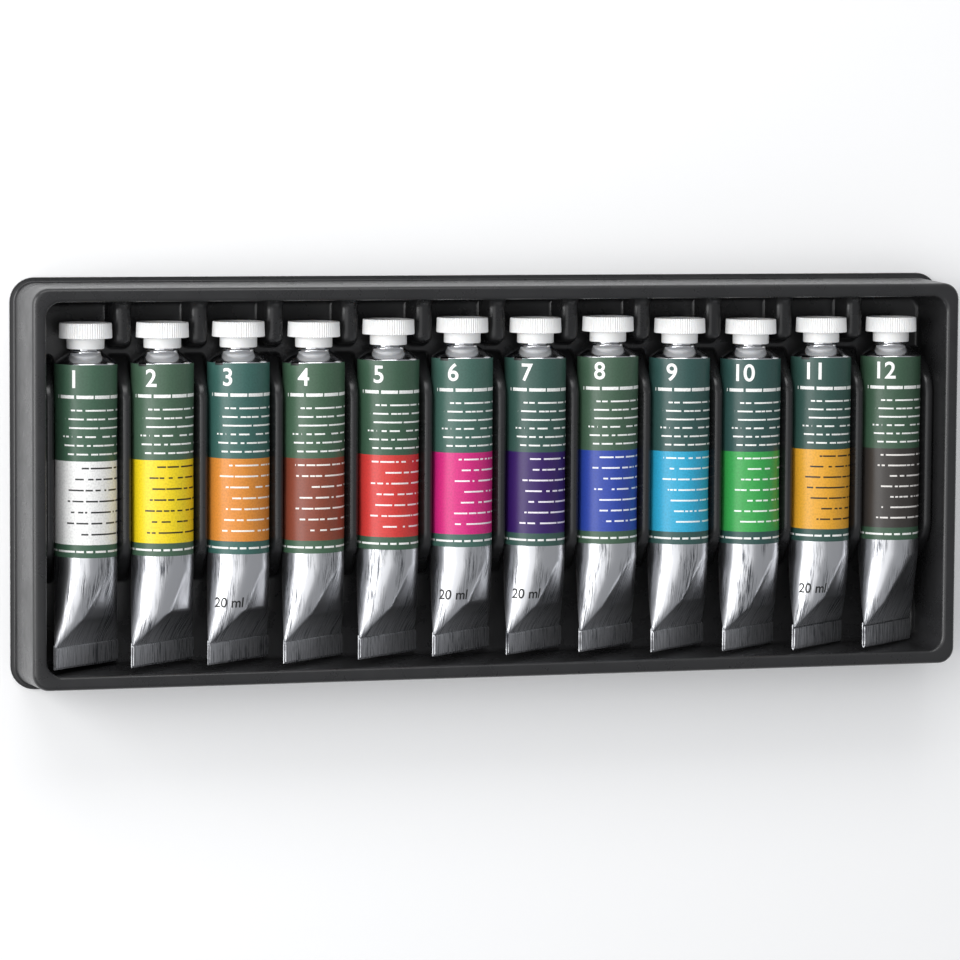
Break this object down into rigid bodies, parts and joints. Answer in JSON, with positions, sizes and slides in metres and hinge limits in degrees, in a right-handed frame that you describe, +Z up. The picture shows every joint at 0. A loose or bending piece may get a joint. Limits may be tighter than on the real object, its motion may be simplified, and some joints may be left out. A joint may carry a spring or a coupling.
{
  "type": "tempera paint set",
  "caption": "Shallow black formed tray holding a row of crimped aluminium paint tubes with ribbed white screw caps; each tube lifts out and each cap unscrews.",
  "frame": {"origin": "centre of the tray's foot flange, on the plane it rests on", "axes": "+X along the row of tubes, +Y along each tube towards its cap, +Z up out of the open tray"},
  "size_m": [0.2998, 0.1248, 0.025],
  "materials": {
    "tray_sheet": "black vacuum-formed polystyrene sheet, glossy",
    "tube_aluminium": "soft drawn aluminium with a printed lacquer band",
    "cap_plastic": "white moulded polypropylene",
    "seal_plastic": "soft white sealing disc",
    "paint_white": "tempera paint, thick and matt",
    "paint_yellow": "tempera paint, thick and matt",
    "paint_orange": "tempera paint, thick and matt",
    "paint_red_brown": "tempera paint, thick and matt",
    "paint_red": "tempera paint, thick and matt",
    "paint_magenta": "tempera paint, thick and matt",
    "paint_violet": "tempera paint, thick and matt",
    "paint_ultramarine": "tempera paint, thick and matt",
    "paint_turquoise": "tempera paint, thick and matt",
    "paint_green": "tempera paint, thick and matt",
    "paint_ochre": "tempera paint, thick and matt",
    "paint_umber": "tempera paint, thick and matt"
  },
  "bodies": {
    "tray": {"tray": "tray_sheet"},
    "tube_01": {"tube_01": "tube_aluminium", "paint_01": "paint_white"},
    "cap_seal_01": {"cap_seal_01": "seal_plastic"},
    "cap_01": {"cap_01": "cap_plastic"},
    "tube_02": {"tube_02": "tube_aluminium", "paint_02": "paint_yellow"},
    "cap_seal_02": {"cap_seal_02": "seal_plastic"},
    "cap_02": {"cap_02": "cap_plastic"},
    "tube_03": {"tube_03": "tube_aluminium", "paint_03": "paint_orange"},
    "cap_seal_03": {"cap_seal_03": "seal_plastic"},
    "cap_03": {"cap_03": "cap_plastic"},
    "tube_04": {"tube_04": "tube_aluminium", "paint_04": "paint_red_brown"},
    "cap_seal_04": {"cap_seal_04": "seal_plastic"},
    "cap_04": {"cap_04": "cap_plastic"},
    "tube_05": {"tube_05": "tube_aluminium", "paint_05": "paint_red"},
    "cap_seal_05": {"cap_seal_05": "seal_plastic"},
    "cap_05": {"cap_05": "cap_plastic"},
    "tube_06": {"tube_06": "tube_aluminium", "paint_06": "paint_magenta"},
    "cap_seal_06": {"cap_seal_06": "seal_plastic"},
    "cap_06": {"cap_06": "cap_plastic"},
    "tube_07": {"tube_07": "tube_aluminium", "paint_07": "paint_violet"},
    "cap_seal_07": {"cap_seal_07": "seal_plastic"},
    "cap_07": {"cap_07": "cap_plastic"},
    "tube_08": {"tube_08": "tube_aluminium", "paint_08": "paint_ultramarine"},
    "cap_seal_08": {"cap_seal_08": "seal_plastic"},
    "cap_08": {"cap_08": "cap_plastic"},
    "tube_09": {"tube_09": "tube_aluminium", "paint_09": "paint_turquoise"},
    "cap_seal_09": {"cap_seal_09": "seal_plastic"},
    "cap_09": {"cap_09": "cap_plastic"},
    "tube_10": {"tube_10": "tube_aluminium", "paint_10": "paint_green"},
    "cap_seal_10": {"cap_seal_10": "seal_plastic"},
    "cap_10": {"cap_10": "cap_plastic"},
    "tube_11": {"tube_11": "tube_aluminium", "paint_11": "paint_ochre"},
    "cap_seal_11": {"cap_seal_11": "seal_plastic"},
    "cap_11": {"cap_11": "cap_plastic"},
    "tube_12": {"tube_12": "tube_aluminium", "paint_12": "paint_umber"},
    "cap_seal_12": {"cap_seal_12": "seal_plastic"},
    "cap_12": {"cap_12": "cap_plastic"}
  },
  "joints": [
    {"name": "tube_01_lift", "type": "slide", "parent": "tray", "child": "tube_01", "axis": [0, 0, 1], "range_m": [0, 0.04]},
    {"name": "cap_01_advance", "type": "slide", "parent": "tube_01", "child": "cap_seal_01", "axis": [0, 1, 0], "range_m": [0, 0.00375]},
    {"name": "cap_01_turn", "type": "hinge", "parent": "cap_seal_01", "child": "cap_01", "pos_m": [-0.12924, 0.045, 0.013], "axis": [0, 1, 0], "range_deg": [0, 1080]},
    {"name": "tube_02_lift", "type": "slide", "parent": "tray", "child": "tube_02", "axis": [0, 0, 1], "range_m": [0, 0.04]},
    {"name": "cap_02_advance", "type": "slide", "parent": "tube_02", "child": "cap_seal_02", "axis": [0, 1, 0], "range_m": [0, 0.00375]},
    {"name": "cap_02_turn", "type": "hinge", "parent": "cap_seal_02", "child": "cap_02", "pos_m": [-0.10575, 0.045, 0.013], "axis": [0, 1, 0], "range_deg": [0, 1080]},
    {"name": "tube_03_lift", "type": "slide", "parent": "tray", "child": "tube_03", "axis": [0, 0, 1], "range_m": [0, 0.04]},
    {"name": "cap_03_advance", "type": "slide", "parent": "tube_03", "child": "cap_seal_03", "axis": [0, 1, 0], "range_m": [0, 0.00375]},
    {"name": "cap_03_turn", "type": "hinge", "parent": "cap_seal_03", "child": "cap_03", "pos_m": [-0.08225, 0.045, 0.013], "axis": [0, 1, 0], "range_deg": [0, 1080]},
    {"name": "tube_04_lift", "type": "slide", "parent": "tray", "child": "tube_04", "axis": [0, 0, 1], "range_m": [0, 0.04]},
    {"name": "cap_04_advance", "type": "slide", "parent": "tube_04", "child": "cap_seal_04", "axis": [0, 1, 0], "range_m": [0, 0.00375]},
    {"name": "cap_04_turn", "type": "hinge", "parent": "cap_seal_04", "child": "cap_04", "pos_m": [-0.05875, 0.045, 0.013], "axis": [0, 1, 0], "range_deg": [0, 1080]},
    {"name": "tube_05_lift", "type": "slide", "parent": "tray", "child": "tube_05", "axis": [0, 0, 1], "range_m": [0, 0.04]},
    {"name": "cap_05_advance", "type": "slide", "parent": "tube_05", "child": "cap_seal_05", "axis": [0, 1, 0], "range_m": [0, 0.00375]},
    {"name": "cap_05_turn", "type": "hinge", "parent": "cap_seal_05", "child": "cap_05", "pos_m": [-0.03525, 0.045, 0.013], "axis": [0, 1, 0], "range_deg": [0, 1080]},
    {"name": "tube_06_lift", "type": "slide", "parent": "tray", "child": "tube_06", "axis": [0, 0, 1], "range_m": [0, 0.04]},
    {"name": "cap_06_advance", "type": "slide", "parent": "tube_06", "child": "cap_seal_06", "axis": [0, 1, 0], "range_m": [0, 0.00375]},
    {"name": "cap_06_turn", "type": "hinge", "parent": "cap_seal_06", "child": "cap_06", "pos_m": [-0.01175, 0.045, 0.013], "axis": [0, 1, 0], "range_deg": [0, 1080]},
    {"name": "tube_07_lift", "type": "slide", "parent": "tray", "child": "tube_07", "axis": [0, 0, 1], "range_m": [0, 0.04]},
    {"name": "cap_07_advance", "type": "slide", "parent": "tube_07", "child": "cap_seal_07", "axis": [0, 1, 0], "range_m": [0, 0.00375]},
    {"name": "cap_07_turn", "type": "hinge", "parent": "cap_seal_07", "child": "cap_07", "pos_m": [0.01175, 0.045, 0.013], "axis": [0, 1, 0], "range_deg": [0, 1080]},
    {"name": "tube_08_lift", "type": "slide", "parent": "tray", "child": "tube_08", "axis": [0, 0, 1], "range_m": [0, 0.04]},
    {"name": "cap_08_advance", "type": "slide", "parent": "tube_08", "child": "cap_seal_08", "axis": [0, 1, 0], "range_m": [0, 0.00375]},
    {"name": "cap_08_turn", "type": "hinge", "parent": "cap_seal_08", "child": "cap_08", "pos_m": [0.03525, 0.045, 0.013], "axis": [0, 1, 0], "range_deg": [0, 1080]},
    {"name": "tube_09_lift", "type": "slide", "parent": "tray", "child": "tube_09", "axis": [0, 0, 1], "range_m": [0, 0.04]},
    {"name": "cap_09_advance", "type": "slide", "parent": "tube_09", "child": "cap_seal_09", "axis": [0, 1, 0], "range_m": [0, 0.00375]},
    {"name": "cap_09_turn", "type": "hinge", "parent": "cap_seal_09", "child": "cap_09", "pos_m": [0.05875, 0.045, 0.013], "axis": [0, 1, 0], "range_deg": [0, 1080]},
    {"name": "tube_10_lift", "type": "slide", "parent": "tray", "child": "tube_10", "axis": [0, 0, 1], "range_m": [0, 0.04]},
    {"name": "cap_10_advance", "type": "slide", "parent": "tube_10", "child": "cap_seal_10", "axis": [0, 1, 0], "range_m": [0, 0.00375]},
    {"name": "cap_10_turn", "type": "hinge", "parent": "cap_seal_10", "child": "cap_10", "pos_m": [0.08225, 0.045, 0.013], "axis": [0, 1, 0], "range_deg": [0, 1080]},
    {"name": "tube_11_lift", "type": "slide", "parent": "tray", "child": "tube_11", "axis": [0, 0, 1], "range_m": [0, 0.04]},
    {"name": "cap_11_advance", "type": "slide", "parent": "tube_11", "child": "cap_seal_11", "axis": [0, 1, 0], "range_m": [0, 0.00375]},
    {"name": "cap_11_turn", "type": "hinge", "parent": "cap_seal_11", "child": "cap_11", "pos_m": [0.10575, 0.045, 0.013], "axis": [0, 1, 0], "range_deg": [0, 1080]},
    {"name": "tube_12_lift", "type": "slide", "parent": "tray", "child": "tube_12", "axis": [0, 0, 1], "range_m": [0, 0.04]},
    {"name": "cap_12_advance", "type": "slide", "parent": "tube_12", "child": "cap_seal_12", "axis": [0, 1, 0], "range_m": [0, 0.00375]},
    {"name": "cap_12_turn", "type": "hinge", "parent": "cap_seal_12", "child": "cap_12", "pos_m": [0.12924, 0.045, 0.013], "axis": [0, 1, 0], "range_deg": [0, 1080]}
  ],
  "couplings": [
    {"joint": "cap_01_turn", "follows": "cap_01_advance", "rad_per_m": 5026.5},
    {"joint": "cap_02_turn", "follows": "cap_02_advance", "rad_per_m": 5026.5},
    {"joint": "cap_03_turn", "follows": "cap_03_advance", "rad_per_m": 5026.5},
    {"joint": "cap_04_turn", "follows": "cap_04_advance", "rad_per_m": 5026.5},
    {"joint": "cap_05_turn", "follows": "cap_05_advance", "rad_per_m": 5026.5},
    {"joint": "cap_06_turn", "follows": "cap_06_advance", "rad_per_m": 5026.5},
    {"joint": "cap_07_turn", "follows": "cap_07_advance", "rad_per_m": 5026.5},
    {"joint": "cap_08_turn", "follows": "cap_08_advance", "rad_per_m": 5026.5},
    {"joint": "cap_09_turn", "follows": "cap_09_advance", "rad_per_m": 5026.5},
    {"joint": "cap_10_turn", "follows": "cap_10_advance", "rad_per_m": 5026.5},
    {"joint": "cap_11_turn", "follows": "cap_11_advance", "rad_per_m": 5026.5},
    {"joint": "cap_12_turn", "follows": "cap_12_advance", "rad_per_m": 5026.5}
  ]
}
